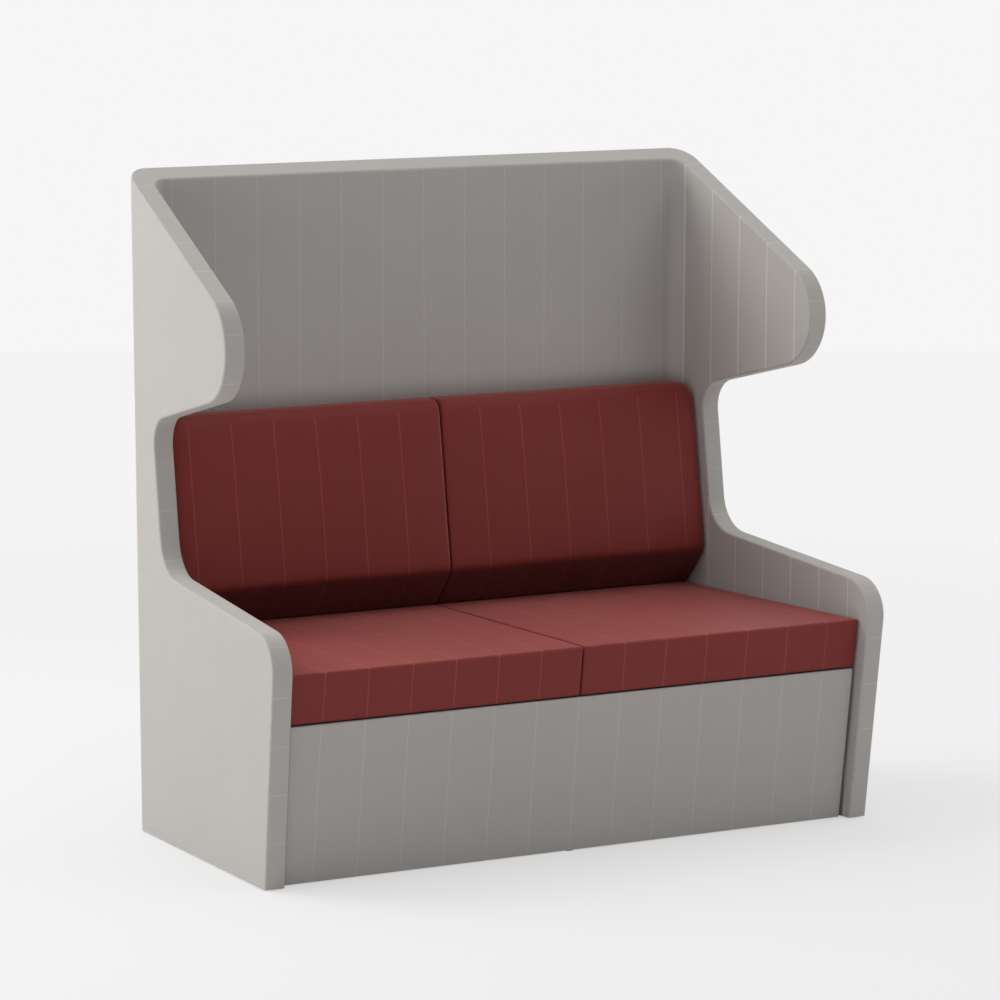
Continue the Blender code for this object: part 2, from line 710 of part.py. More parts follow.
def build_fasteners():
    """Corner bolts of the shell and the screws of the seat frame."""
    across = Vector((0, -math.cos(PLINTH_LEAN), -math.sin(PLINTH_LEAN)))
    screw = RAIL + FIT + COVER + BITE
    from_rail = FIT + CORNER_BLOCK + SIDE_SCREW_CLEAR
    side_screws = {"rear": REAR_RAIL_FRONT + from_rail, "front": rail_rear(SCREW_HEIGHT) - from_rail}
    for word, side in SIDES.items():
        outward = Vector((side * math.cos(SPLAY), math.sin(SPLAY), 0))
        for place, z in BOLT_HEIGHTS.items():
            bolt_x = side * inner_x(PANEL, z, -PANEL / 2)
            fastener(f"{word}_{place}_corner_bolt", world(bolt_x, BOLT_SEAT, z), FORWARD,
                     PANEL - BOLT_SEAT + BOLT_BITE, ["back_cover", f"{word}_side_core"], ["back_core"])
        for place, depth in side_screws.items():
            seat = beside(side, depth, PANEL + FIT + RAIL, SCREW_HEIGHT)
            fastener(f"{word}_rail_{place}_screw", seat, outward, screw,
                     [f"{word}_rail", f"{word}_side_cover", f"{word}_side_core"])
        screw_x = side * RAIL_SCREW_SPREAD
        fastener(f"rear_rail_{word}_screw", world(screw_x, REAR_RAIL_FRONT, SCREW_HEIGHT), -FORWARD, screw,
                 ["rear_rail", "back_cover", "back_core"])
        fastener(f"front_rail_{word}_screw", world(screw_x, rail_rear(SCREW_HEIGHT), SCREW_HEIGHT), across,
                 screw, ["front_rail", "front_panel_cover", "front_panel_core"])


def build_glide(name, core, spot):
    """Plastic glide under a panel, with its spigot in the panel's core."""
    top = STAND - FIT
    place = placed(spot, UP)
    bm = bmesh.new()
    turn(bm, [(0, 0), (GLIDE_RADIUS - GLIDE_EASE, 0), (GLIDE_RADIUS, GLIDE_EASE), (GLIDE_RADIUS, top),
              (SPIGOT_RADIUS, top), (SPIGOT_RADIUS, top + SPIGOT_LENGTH), (0, top + SPIGOT_LENGTH)], place)
    add(name, bm, BLACK_PLASTIC)
    bore([core], place, shaft(SPIGOT_RADIUS + FIT, -OVERCUT, STAND + SPIGOT_LENGTH))


def build_glides():
    """Glides under the side panels, the back and the plinth."""
    side_glides = {"rear": BACK_FRONT + GLIDE_SETBACK, "front": FOOT_DEPTH - GLIDE_SETBACK}
    for word, side in SIDES.items():
        for place, depth in side_glides.items():
            build_glide(f"{word}_{place}_glide", f"{word}_side_core", beside(side, depth, PANEL / 2, 0))
    build_glide("back_glide", "back_core", world(0, PANEL / 2, 0))
    build_glide("front_panel_glide", "front_panel_core", world(0, plinth_front(0) - PLINTH / 2, 0))


def build():
    """Build the whole sofa."""
    clear_scene()
    build_back()
    build_plinth()
    build_frame()
    for word, side in SIDES.items():
        build_side(word, side)
        build_corner_pad(word, side)
        build_deck(word, side)
        build_seat_cushion(word, side)
        build_back_cushion(word, side)
    build_fasteners()
    build_glides()
    drill()


build()
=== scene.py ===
"""Looks of the two-seat high-back wing sofa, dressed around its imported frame.

Metres, +Z up, front towards -Y. A depth is measured forward from the rear face of the back panel.
"""

import json
import logging
import math
from collections.abc import Callable
from dataclasses import dataclass, field
from enum import Enum
from typing import ClassVar

import bmesh
import bpy
import numpy as np
from mathutils import Matrix, Vector


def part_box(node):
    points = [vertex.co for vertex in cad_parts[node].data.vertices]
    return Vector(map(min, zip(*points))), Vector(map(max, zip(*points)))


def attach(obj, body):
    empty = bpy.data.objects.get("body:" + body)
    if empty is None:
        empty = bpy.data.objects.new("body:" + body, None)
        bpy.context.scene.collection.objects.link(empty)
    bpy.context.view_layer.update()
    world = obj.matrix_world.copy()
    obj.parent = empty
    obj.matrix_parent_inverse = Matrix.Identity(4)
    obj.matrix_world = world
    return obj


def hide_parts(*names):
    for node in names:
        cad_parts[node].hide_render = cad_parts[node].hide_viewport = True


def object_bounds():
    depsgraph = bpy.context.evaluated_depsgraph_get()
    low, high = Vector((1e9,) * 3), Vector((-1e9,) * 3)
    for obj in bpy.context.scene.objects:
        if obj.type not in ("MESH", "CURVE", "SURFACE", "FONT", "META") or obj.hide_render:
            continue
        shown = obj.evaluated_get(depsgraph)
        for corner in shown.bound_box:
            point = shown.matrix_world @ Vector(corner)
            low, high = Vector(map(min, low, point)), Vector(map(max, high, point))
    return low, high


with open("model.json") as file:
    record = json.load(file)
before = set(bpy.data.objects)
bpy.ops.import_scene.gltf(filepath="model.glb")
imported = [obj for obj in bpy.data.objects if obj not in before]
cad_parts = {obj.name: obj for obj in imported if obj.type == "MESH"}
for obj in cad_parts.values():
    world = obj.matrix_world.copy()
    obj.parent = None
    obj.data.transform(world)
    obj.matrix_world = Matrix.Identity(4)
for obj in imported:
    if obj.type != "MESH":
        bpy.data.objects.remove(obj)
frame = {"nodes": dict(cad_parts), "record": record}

cad_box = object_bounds()
log = logging.getLogger("sofa")

Piece = bpy.types.Object
Material = bpy.types.Material
Socket = bpy.types.NodeSocket
Pair = tuple[float, float]
Triple = tuple[float, float, float]

CLOTH_MAP = "cloth"
STRIPE_MAP = "stripe"
REAR_Y = cad_box[1][1]
REAR_WIDTH = 1.410  # outside width at the rear face, at the floor
PANEL = 0.046  # thickness of the back and side panels
SPLAY = math.radians(3.73)  # turn of each side panel outwards towards the front
LEAN = math.radians(0.42)  # lean of each side panel outwards towards the top
STAND = 0.0025  # height of the panels over the floor
WALL = 0.0037  # cloth and padding round a panel's core
SHARP = math.radians(45)  # edges that turn more than this are rounded, or stay sharp
FLAT = 0.9  # a face is square to an axis where more than this of its normal is along it
WELD = 0.00001  # vertices nearer than this are joined
TINY = 1e-9  # keeps a division off zero
NORMAL_WEIGHT = 90  # how far the large faces rule the shading of the rounded edges beside them


class Part(Enum):
    """What an edit-mode step selects."""

    VERT = "verts"
    EDGE = "edges"
    FACE = "faces"


class Hand(Enum):
    """The two halves of the sofa, and the way each lies from the middle."""

    LEFT = -1
    RIGHT = 1

    @property
    def word(self) -> str:
        """Name of the half as its nodes have it."""
        return self.name.lower()


def pick(obj: Piece) -> None:
    """Deselect everything, then make one object selected and active.

    Args:
        obj: The object.
    """
    bpy.ops.object.select_all(action="DESELECT")
    obj.select_set(True)
    bpy.context.view_layer.objects.active = obj


def edit(obj: Piece, part: Part, test: Callable, *steps: Callable) -> None:
    """Select in edit mode what passes a test, and run operators on it.

    Args:
        obj: The piece to work on.
        part: Whether vertices, edges or faces are tested.
        test: Called with each of them; true selects it.
        steps: Operators to run, in order.
    """
    pick(obj)
    bpy.ops.object.mode_set(mode="EDIT")
    bpy.ops.mesh.select_mode(type=part.name)
    bpy.ops.mesh.select_all(action="DESELECT")
    bm = bmesh.from_edit_mesh(obj.data)
    for item in [item for item in getattr(bm, part.value) if test(item)]:
        item.select_set(True)
    bm.select_flush_mode()
    bmesh.update_edit_mesh(obj.data)
    for step in steps:
        step()
    bpy.ops.object.mode_set(mode="OBJECT")


def finish_with(obj: Piece, kind: str, **settings: object) -> None:
    """Add a modifier to a piece and apply it.

    Args:
        obj: The piece.
        kind: The modifier's type.
        settings: Its settings by name.
    """
    pick(obj)
    modifier = obj.modifiers.new(kind.title(), kind)
    for name, value in settings.items():
        setattr(modifier, name, value)
    bpy.ops.object.modifier_apply(modifier=modifier.name)


def rounder(radius: float, steps: int) -> Callable:
    """Edit-mode step that rounds the selected edges."""
    return lambda: bpy.ops.mesh.bevel(offset=radius, offset_type="OFFSET", segments=steps, profile=0.5,
                                      affect="EDGES")


def heading(angle: float) -> Vector:
    """Unit direction in a flat outline, turned from the first axis towards the second."""
    return Vector((math.cos(angle), math.sin(angle)))


def meet(first: tuple[Vector, Vector], second: tuple[Vector, Vector]) -> Vector:
    """Point where two lines meet, each given as a point and a direction."""
    (start, along), (other, across) = first, second
    return start + along * ((other - start).cross(across) / along.cross(across))


def rounded(corners: list[Vector], radii: list[float], arc_step: float) -> list[Vector]:
    """Outline through the corners, each rounded by its radius.

    Args:
        corners: Corner points in order.
        radii: A radius for each corner; 0 leaves it sharp.
        arc_step: Largest turn between two points of an arc.

    Returns:
        The outline's points.
    """
    outline = []
    for i, (corner, radius) in enumerate(zip(corners, radii)):
        if not radius:
            outline.append(corner)
            continue
        before = (corners[i - 1] - corner).normalized()
        after = (corners[(i + 1) % len(corners)] - corner).normalized()
        half = before.angle(after) / 2
        centre = corner + (before + after).normalized() * radius / math.sin(half)
        start = corner + before * radius / math.tan(half) - centre
        end = corner + after * radius / math.tan(half) - centre
        turn = math.atan2(start.cross(end), start.dot(end))
        steps = math.ceil(abs(turn) / arc_step)
        outline += [centre + Matrix.Rotation(turn * n / steps, 2) @ start for n in range(steps + 1)]
    return outline


def divided(outline: list[Vector], parts: list[int]) -> list[Vector]:
    """Split each run of a closed outline evenly.

    Args:
        outline: Points in order.
        parts: Number of parts for the run from each point to the next.

    Returns:
        The outline's points with those between.
    """
    ends = outline[1:] + outline[:1]
    return [start.lerp(end, n / count)
            for start, end, count in zip(outline, ends, parts) for n in range(count)]


def inside_x(depth: float, z: float, gap: float) -> float:
    """Half the width between the sides at a depth and height, less a gap to each."""
    return REAR_WIDTH / 2 + depth * math.tan(SPLAY) - (PANEL + gap) / math.cos(SPLAY) + z * math.tan(LEAN)


class Nodes:
    """A node tree, with short ways to add and join its nodes."""

    def __init__(self, tree: bpy.types.NodeTree) -> None:
        """Take over a tree."""
        self.tree = tree

    def node(self, kind: str, inputs: dict | None = None, **settings: object) -> bpy.types.Node:
        """Add a node.

        Args:
            kind: Its type, without the ShaderNode prefix.
            inputs: Values or output sockets for its inputs, by name or number.
            settings: Its settings by name.

        Returns:
            The node.
        """
        node = self.tree.nodes.new("ShaderNode" + kind)
        for name, value in settings.items():
            setattr(node, name, value)
        for key, value in (inputs or {}).items():
            self.feed(node.inputs[key], value)
        return node

    def feed(self, socket: Socket, value: object) -> None:
        """Set an input to a value, or join it to an output socket.

        Args:
            socket: The input.
            value: The value or the output socket.
        """
        if isinstance(value, Socket):
            self.tree.links.new(value, socket)
        else:
            socket.default_value = value

    def maths(self, operation: str, *values: object, clamp: bool = False) -> Socket:
        """Output of a Math node on the given values."""
        node = self.node("Math", dict(enumerate(values)), operation=operation, use_clamp=clamp)
        return node.outputs[0]

    def blend(self, amount: object, first: object, second: object) -> Socket:
        """Mix two colours.

        Args:
            amount: Share of the second colour, from 0 to 1.
            first: The first colour.
            second: The second colour.

        Returns:
            The mixed colour.
        """
        node = self.node("Mix", data_type="RGBA")
        self.feed(node.inputs[0], amount)
        self.feed(node.inputs[6], first)
        self.feed(node.inputs[7], second)
        return node.outputs[2]

    def ramp(self, value: object, low: float, high: float) -> Socket:
        """A value taken smoothly from 0 at low to 1 at high."""
        node = self.node("MapRange", {0: value, 1: low, 2: high}, interpolation_type="SMOOTHSTEP")
        return node.outputs[0]

    def split(self, vector: object) -> bpy.types.bpy_prop_collection:
        """The outputs with a vector's three parts."""
        return self.node("SeparateXYZ", {0: vector}).outputs

    def stretched(self, vector: object, scale: Triple) -> Socket:
        """A place with each of its parts scaled."""
        return self.node("Mapping", {0: vector, "Scale": scale}).outputs[0]

    def scaled(self, colour: object, factor: object) -> Socket:
        """A colour times a factor."""
        return self.node("VectorMath", {0: colour, "Scale": factor}, operation="SCALE").outputs[0]

    def varied(self, value: object, amount: float) -> Socket:
        """A factor round 1, which a value from 0 to 1 takes through an amount."""
        return self.maths("MULTIPLY_ADD", value, amount, 1 - amount / 2)

    def noise(self, vector: object, scale: float, detail: float = 2.0) -> Socket:
        """Grey noise at a scale."""
        return self.node("TexNoise", {"Vector": vector, "Scale": scale, "Detail": detail}).outputs["Fac"]

    def bump(self, height: object, distance: float, strength: float) -> Socket:
        """Normal of a surface raised by a height."""
        return self.node("Bump", {"Height": height, "Distance": distance, "Strength": strength}).outputs[0]

    def seen(self) -> Socket:
        """Tell the rays by which the camera sees a surface, also in a mirror and through glass.

        Returns:
            1 on those rays and 0 on the others.
        """
        path = self.node("LightPath").outputs
        direct = self.maths("MAXIMUM", path["Is Camera Ray"], path["Is Glossy Ray"])
        return self.maths("MAXIMUM", direct, path["Is Transmission Ray"])


class Shader(Nodes):
    """A material's node tree, which starts with one Principled shader."""

    def __init__(self, name: str) -> None:
        """Start the material.

        Args:
            name: Its name.
        """
        self.material = bpy.data.materials.new(name)
        self.material.use_nodes = True
        super().__init__(self.material.node_tree)
        self.surface = self.tree.nodes["Principled BSDF"]

    def body(self) -> Socket:
        """Place on the piece itself, in metres."""
        return self.node("TexCoord").outputs["Object"]

    def made(self, inputs: dict) -> Material:
        """Feed the Principled shader.

        Args:
            inputs: Values or output sockets by the input's name.

        Returns:
            The material.
        """
        for name, value in inputs.items():
            self.feed(self.surface.inputs[name], value)
        return self.material


@dataclass(frozen=True)
class Finish:
    """What every finish has, and the material it makes."""

    name: str
    colour: Triple

    def material(self) -> Material:
        """Build the finish's material."""
        raise NotImplementedError


@dataclass(frozen=True)
class Cloth(Finish):
    """Plain-woven wool cloth with a fine paler stripe, laid in metres by a piece's two maps."""

    stripe_colour: Triple
    sheen: float
    sheen_tint: Triple
    roughness: float
    shine: float
    stripe: float
    bold: float  # how much wider and paler the stripes are on faces square to the bold axis; where that axis points up, the extra width and paleness are painted sheen
    bold_axis: int
    lining: float  # share of the colour left on faces that look down, as painted shade under overhangs such as the back cushions' knees
    pitch: float = 0.1038
    stripe_edges: Pair = (0.85, 0.30)  # shares of its width: start, full
    stripe_rise: float = 0.6
    stray: float = 0.25  # share of its width by which a stripe strays
    stray_scale: float = 35.0
    square_range: Pair = (0.5, 0.8)
    down_range: Pair = (-0.05, -0.65)
    thread: float = 0.0011
    crossing: Pair = (0.35, 0.65)  # shares of a thread
    # the weave's low places between the threads are painted darker, as shade
    weave_shade: float = 0.10
    slub_shade: float = 0.05
    slub_scale: Triple = (420.0, 40.0, 1.0)
    cloud_shade: float = 0.05
    cloud_scale: float = 9.0
    fibre_rise: float = 0.8
    fibre_scale: float = 900.0
    relief: Pair = (0.00022, 0.55)
    nap_roughness: float = 0.45

    def material(self) -> Material:
        """Build the cloth's material.

        Returns:
            The material.
        """
        shade = Shader(self.name)
        spot = shade.node("UVMap", uv_map=CLOTH_MAP).outputs[0]
        body = shade.body()
        facing = shade.split(shade.node("NewGeometry").outputs["Normal"])
        # Stripes are the cloth's own pattern; where the bold axis points up, their extra width and paleness
        # are painted sheen on the stripes' threads.
        square = shade.ramp(shade.maths("ABSOLUTE", facing[self.bold_axis]), *self.square_range)
        boldness_and_sheen = shade.maths("MULTIPLY_ADD", square, self.bold, 1.0)
        stripe = self.stripes(shade, spot, boldness_and_sheen)
        weave = self.weave(shade, spot)
        slubs = shade.noise(shade.stretched(spot, self.slub_scale), 1.0, 3.0)
        cloud = shade.noise(body, self.cloud_scale, 3.0)
        pale = shade.maths("MULTIPLY", stripe, shade.maths("DIVIDE", boldness_and_sheen, 1 + self.bold))
        tinted = shade.blend(pale, (*self.colour, 1), (*self.stripe_colour, 1))
        # Slubs and clouds vary the yarn's own tone; the weave's low places are painted darker, as shade
        # between the threads.
        shades = ((slubs, self.slub_shade), (cloud, self.cloud_shade), (weave, self.weave_shade))
        for value, amount in shades:
            tinted = shade.scaled(tinted, shade.varied(value, amount))
        # Faces that look down are painted darker: painted shade, as under the back cushions' knees over the
        # seat.
        under = shade.ramp(facing[2], *self.down_range)
        tinted = shade.scaled(tinted, shade.maths("MULTIPLY_ADD", under, self.lining - 1, 1.0))
        height = shade.maths("MULTIPLY_ADD", shade.noise(body, self.fibre_scale), self.fibre_rise, weave)
        height = shade.maths("MULTIPLY_ADD", stripe, self.stripe_rise, height)
        return shade.made({"Base Color": tinted, "Normal": shade.bump(height, *self.relief),
                           "Roughness": self.roughness, "Specular IOR Level": self.shine,
                           "Sheen Weight": self.sheen, "Sheen Roughness": self.nap_roughness,
                           "Sheen Tint": (*self.sheen_tint, 1)})

    def stripes(self, shade: Shader, spot: object, boldness_and_sheen: object) -> Socket:
        """Where the stripes are.

        Args:
            shade: The material being built.
            spot: Place on the cloth.
            boldness_and_sheen: How many times wider than usual the stripes are.

        Returns:
            1 on a stripe and 0 off it.
        """
        line = shade.split(shade.node("UVMap", uv_map=STRIPE_MAP).outputs[0])[0]
        away = shade.maths("DIVIDE", shade.maths("PINGPONG", line, self.pitch / 2), boldness_and_sheen)
        stray = shade.maths("MULTIPLY", shade.noise(spot, self.stray_scale), self.stripe * self.stray)
        edges = [self.stripe * share for share in self.stripe_edges]
        return shade.ramp(shade.maths("ADD", away, stray), *edges)

    def weave(self, shade: Shader, spot: object) -> Socket:
        """Height of the two sets of threads, which pass over each other by turns.

        Args:
            shade: The material being built.
            spot: Place on the cloth.

        Returns:
            The height, from 0 to 1.
        """
        axes = shade.split(spot)
        waver = shade.node("TexNoise", {"Vector": spot, "Scale": 0.5 / self.thread, "Detail": 1.0})
        waver = shade.node("SeparateColor", {0: waver.outputs["Color"]}).outputs
        across, along = [shade.maths("MULTIPLY_ADD", waver[i], self.thread, axes[i]) for i in (0, 1)]
        warp = self.threads(shade, across, along)
        weft = self.threads(shade, along, across)
        over = shade.maths("PINGPONG", shade.maths("ADD", across, along), self.thread)
        side = shade.ramp(over, *[self.thread * share for share in self.crossing])
        return shade.node("Mix", {0: side, 2: warp, 3: weft}).outputs[0]

    def threads(self, shade: Shader, across: object, along: object) -> Socket:
        """Height of a set of round threads, one thread apart, that dips where the others pass over.

        Args:
            shade: The material being built.
            across: Place across the threads, in metres.
            along: Place along the threads, in metres.

        Returns:
            The height, from 0 to 1.
        """
        tooth = shade.maths("PINGPONG", across, self.thread / 2)
        hump = shade.maths("SINE", shade.maths("MULTIPLY", tooth, math.pi / self.thread))
        dip = shade.maths("PINGPONG", along, self.thread)
        return shade.maths("MULTIPLY", hump, shade.maths("MULTIPLY_ADD", dip, 0.5 / self.thread, 0.5))


@dataclass(frozen=True)
class Board(Finish):
    """Raw chipboard: flakes of several tones pressed together."""

    flake: float = 0.004
    flake_shade: float = 0.5
    dust_shade: float = 0.3
    dust_scale: float = 1500.0
    darkest: float = 0.6
    relief: Pair = (0.0004, 0.5)
    roughness: float = 0.85

    def material(self) -> Material:
        """Build the board's material.

        Returns:
            The material.
        """
        shade = Shader(self.name)
        body = shade.body()
        flakes = shade.node("TexVoronoi", {"Vector": body, "Scale": 1 / self.flake}).outputs
        tone = shade.node("SeparateColor", {0: flakes["Color"]}).outputs[0]
        dust = shade.noise(body, self.dust_scale)
        light = shade.maths("MULTIPLY_ADD", dust, self.dust_shade, self.darkest)
        light = shade.maths("MULTIPLY_ADD", tone, self.flake_shade, light)
        return shade.made({"Base Color": shade.scaled(self.colour, light), "Roughness": self.roughness,
                           "Normal": shade.bump(flakes["Distance"], *self.relief)})


@dataclass(frozen=True)
class Timber(Finish):
    """Planed timber or plywood face: long grain with pores along X."""

    dark: Triple
    grain_scale: Triple = (1.2, 14.0, 14.0)
    ring_count: float = 8.0
    pore_scale: Triple = (25.0, 700.0, 700.0)
    pore_share: float = 0.5
    relief: Pair = (0.0002, 0.4)
    roughness: float = 0.55
    pore_roughness: float = 0.15

    def material(self) -> Material:
        """Build the timber's material.

        Returns:
            The material.
        """
        shade = Shader(self.name)
        body = shade.body()
        bend = shade.noise(shade.stretched(body, self.grain_scale), 1.0, 3.0)
        rings = shade.maths("PINGPONG", shade.maths("MULTIPLY", bend, self.ring_count), 1.0)
        pores = shade.noise(shade.stretched(body, self.pore_scale), 1.0)
        rings = shade.maths("MULTIPLY", rings, 1 - self.pore_share)
        grain = shade.maths("MULTIPLY_ADD", pores, self.pore_share, rings, clamp=True)
        rough = shade.maths("MULTIPLY_ADD", pores, self.pore_roughness, self.roughness)
        return shade.made({"Base Color": shade.blend(grain, (*self.colour, 1), (*self.dark, 1)),
                           "Normal": shade.bump(pores, *self.relief), "Roughness": rough})


@dataclass(frozen=True)
class Metal(Finish):
    """Drawn or plated metal with fine lines along X and a little tarnish."""

    roughness: float
    line_scale: Triple = (12.0, 2600.0, 2600.0)
    line_roughness: float = 0.1
    cloud_scale: float = 60.0
    cloud_shade: float = 0.16
    cloud_roughness: float = 0.2
    relief: Pair = (0.00005, 0.4)

    def material(self) -> Material:
        """Build the metal's material.

        Returns:
            The material.
        """
        shade = Shader(self.name)
        body = shade.body()
        lines = shade.noise(shade.stretched(body, self.line_scale), 1.0)
        cloud = shade.noise(body, self.cloud_scale, 3.0)
        rough = shade.maths("MULTIPLY_ADD", lines, self.line_roughness, self.roughness)
        rough = shade.maths("MULTIPLY_ADD", cloud, self.cloud_roughness, rough)
        return shade.made({"Base Color": shade.scaled(self.colour, shade.varied(cloud, self.cloud_shade)),
                           "Normal": shade.bump(lines, *self.relief), "Roughness": rough, "Metallic": 1.0})


@dataclass(frozen=True)
class Plastic(Finish):
    """Moulded plastic with a fine spark texture."""

    spark_scale: float = 1800.0
    spark_shade: float = 1.0
    relief: Pair = (0.0001, 0.5)
    roughness: float = 0.4
    spark_roughness: float = 0.2

    def material(self) -> Material:
        """Build the plastic's material.

        Returns:
            The material.
        """
        shade = Shader(self.name)
        spark = shade.noise(shade.body(), self.spark_scale)
        rough = shade.maths("MULTIPLY_ADD", spark, self.spark_roughness, self.roughness)
        return shade.made({"Base Color": shade.scaled(self.colour, shade.varied(spark, self.spark_shade)),
                           "Normal": shade.bump(spark, *self.relief), "Roughness": rough})


GREY = Cloth("grey_cloth", (0.400, 0.381, 0.362), (0.533, 0.508, 0.482), sheen=0.05,
             sheen_tint=(0.9, 0.88, 0.85), roughness=0.75, shine=0.2, stripe=0.0022,
             bold=0.9, bold_axis=0, lining=1.0)
# The red cloth's faces that look down are painted darker, as shade, and its stripes are painted wider and
# paler on faces that look up, as sheen.
RED = Cloth("red_cloth", (0.178, 0.0245, 0.0215), (0.319, 0.0679, 0.0637), sheen=0.56,
            sheen_tint=(1.0, 0.37, 0.34), roughness=0.50, shine=0.15, stripe=0.0027,
            bold=0.6, bold_axis=2, lining=0.42)
INNER_FINISHES = {
    "chipboard": Board("chipboard", (0.45, 0.34, 0.22)),
    "beech": Timber("beech", (0.62, 0.43, 0.26), (0.44, 0.27, 0.14)),
    "plywood": Timber("plywood", (0.66, 0.51, 0.33), (0.50, 0.35, 0.19)),
    "steel": Metal("zinc_plate", (0.62, 0.62, 0.61), 0.30),
    "aluminium": Metal("aluminium", (0.78, 0.78, 0.78), 0.32),
    "black_plastic": Plastic("black_plastic", (0.03, 0.03, 0.03)),
}


def new_primitive(add: Callable, name: str, **settings: object) -> Piece:
    """Add a primitive with nothing else selected, and put its place and scale into its mesh.

    Args:
        add: The operator that adds it.
        name: The piece's name.
        settings: The operator's settings.

    Returns:
        The new object.
    """
    bpy.ops.object.select_all(action="DESELECT")
    add(**settings)
    obj = bpy.context.object
    obj.name = name
    obj.data.name = name
    bpy.ops.object.transform_apply(location=True, rotation=True, scale=True)
    return obj


def map_cloth(obj: Piece, place: Callable) -> None:
    """Give a piece its maps of where the cloth and the stripes lie on it.

    Args:
        obj: The piece.
        place: Called with a face's normal, its middle and a corner's place; returns how far the corner
            is across the stripes, and its place on the cloth, in metres.
    """
    mesh = obj.data
    for name in (CLOTH_MAP, STRIPE_MAP):
        mesh.uv_layers.new(name=name)
    cloth, stripes = (mesh.uv_layers[name].data for name in (CLOTH_MAP, STRIPE_MAP))
    for face in mesh.polygons:
        for loop in face.loop_indices:
            corner = mesh.vertices[mesh.loops[loop].vertex_index].co
            across, u, v = place(face.normal, face.center, corner)
            cloth[loop].uv = (u, v)
            stripes[loop].uv = (across, 0)


def read_vectors(obj: Piece, name: str) -> np.ndarray:
    """Read a vector of every vertex of a piece, such as its place.

    Args:
        obj: The piece.
        name: The vector's name on a vertex.

    Returns:
        The vectors as rows.
    """
    values = np.empty(len(obj.data.vertices) * 3)
    obj.data.vertices.foreach_get(name, values)
    return values.reshape(-1, 3)


def take_away(obj: Piece, cutter: Piece) -> None:
    """Cut one shape out of another and remove it."""
    finish_with(obj, "BOOLEAN", operation="DIFFERENCE", solver="EXACT", object=cutter)
    bpy.data.objects.remove(cutter)


def sleeve(obj: Piece) -> None:
    """Hollow a panel to a padded sleeve that is open below, and smooth its rounded edges.

    Args:
        obj: The panel.
    """
    edit(obj, Part.FACE, lambda f: f.normal.z < -FLAT and f.calc_center_median().z < STAND + WALL / 2,
         lambda: bpy.ops.mesh.delete(type="FACE"))
    finish_with(obj, "SOLIDIFY", thickness=WALL, offset=-1)
    for vert in obj.data.vertices:
        vert.co.z = max(vert.co.z, STAND)
    pick(obj)
    bpy.ops.object.shade_smooth_by_angle(angle=SHARP)
    finish_with(obj, "WEIGHTED_NORMAL", keep_sharp=True, weight=NORMAL_WEIGHT)


def dress(obj: Piece, cloth: Material, body: str, slot: str, *nodes: str) -> None:
    """Put a cloth on a new piece and tie it to the frame.

    Args:
        obj: The piece.
        cloth: Its material.
        body: The body that it rides on.
        slot: The record's slot that its finish stands for; not used.
        nodes: The frame's nodes that it replaces.
    """
    obj.data.materials.clear()
    obj.data.materials.append(cloth)
    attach(obj, body)
    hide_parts(*nodes)
    log.info("%s: %d faces, in place of %s", obj.name, len(obj.data.polygons), ", ".join(nodes))


@dataclass
class SideProfile:
    """Outline of a side panel, as lines that are rounded where they meet."""

    height: float = 1.4515
    wing_fall: float = math.radians(27.05)
    wing_reach: float = 0.5416
    wing_nose: float = 0.118
    wing_underside: float = math.radians(12.9)
    notch_top: float = 0.066
    neck_depth: float = 0.264
    neck_lean: float = math.radians(7.95)
    notch_foot: float = 0.088
    arm_height: float = 0.609
    arm_fall: float = math.radians(5.65)
    arm_nose: float = 0.081
    foot_depth: float = 0.7093
    front_lean: float = math.radians(7.0)
    arc_step: float = math.radians(6)

    def points(self, low: float, rear: float) -> list[Vector]:
        """Outline from the front foot up and round to the top of the rear.

        Args:
            low: Height at which it starts.
            rear: Depth at which it ends.

        Returns:
            Points as (depth, height).
        """
        nose_depth = self.wing_reach - self.wing_nose
        nose_height = self.height - nose_depth * math.tan(self.wing_fall)
        nose_height -= self.wing_nose / math.cos(self.wing_fall)
        under = heading(self.wing_underside)
        below = Vector((nose_depth, nose_height)) - Vector((-under.y, under.x)) * self.wing_nose
        floor = (Vector((0, low)), heading(0))
        front = (Vector((self.foot_depth, 0)), heading(math.pi / 2 - self.front_lean))
        arm = (Vector((0, self.arm_height)), heading(math.pi - self.arm_fall))
        neck = (Vector((self.neck_depth, 0)), heading(math.pi / 2 + self.neck_lean))
        wing = (below, under)
        top = (Vector((0, self.height)), heading(math.pi - self.wing_fall))
        end = (Vector((rear, 0)), heading(math.pi / 2))
        turns = [(floor, front, 0), (front, arm, self.arm_nose), (arm, neck, self.notch_foot),
                 (neck, wing, self.notch_top), (wing, top, self.wing_nose), (top, end, 0)]
        corners = [meet(first, second) for first, second, _ in turns]
        return rounded(corners, [radius for _, _, radius in turns], self.arc_step)


